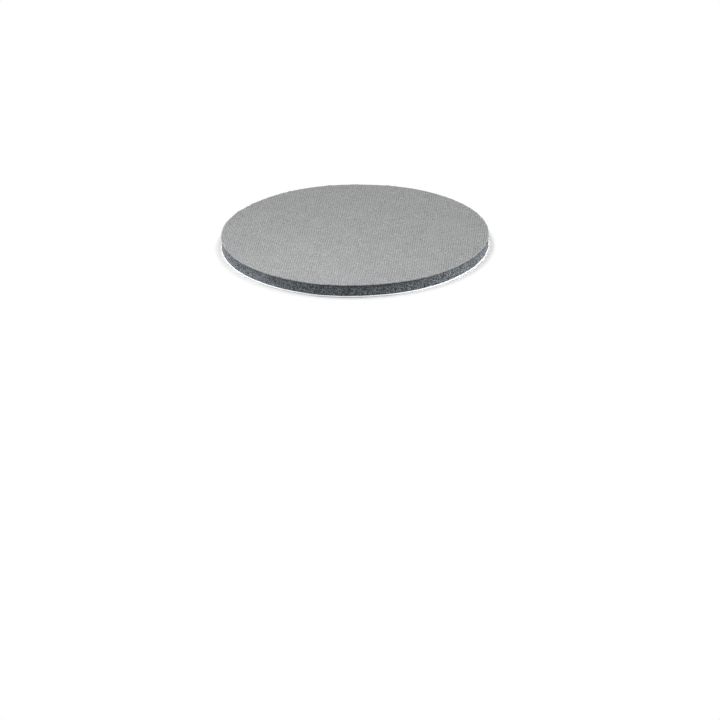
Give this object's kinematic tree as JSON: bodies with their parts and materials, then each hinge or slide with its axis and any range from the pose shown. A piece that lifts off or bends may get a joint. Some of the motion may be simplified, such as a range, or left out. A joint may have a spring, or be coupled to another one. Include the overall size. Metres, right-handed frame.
{
  "type": "foam sanding disc",
  "caption": "Round hook-and-loop sanding disc: grit-coated knitted cloth bonded to a soft foam layer and a brushed loop backing, for fine wet or dry finishing.",
  "frame": {"origin": "centre of the loop backing's flat face, on which the disc lies", "axes": "+Z along the disc's axis, out of the grit face; the ribs of the grit cloth run within 5 degrees of +Y"},
  "size_m": [0.15, 0.15, 0.0074],
  "materials": {
    "abrasive_cloth": "light grey knitted cloth with upright ribs, coated with very fine dark and bright grit",
    "foam_pad": "dark slate-grey soft open-cell foam, cut wall matt and mottled with fine pores",
    "loop_backing": "white brushed loop cloth, matt and fuzzy, with a slightly ragged cut edge"
  },
  "bodies": {
    "root": {"abrasive_cloth": "abrasive_cloth", "foam_pad": "foam_pad", "loop_backing": "loop_backing"}
  },
  "joints": []
}
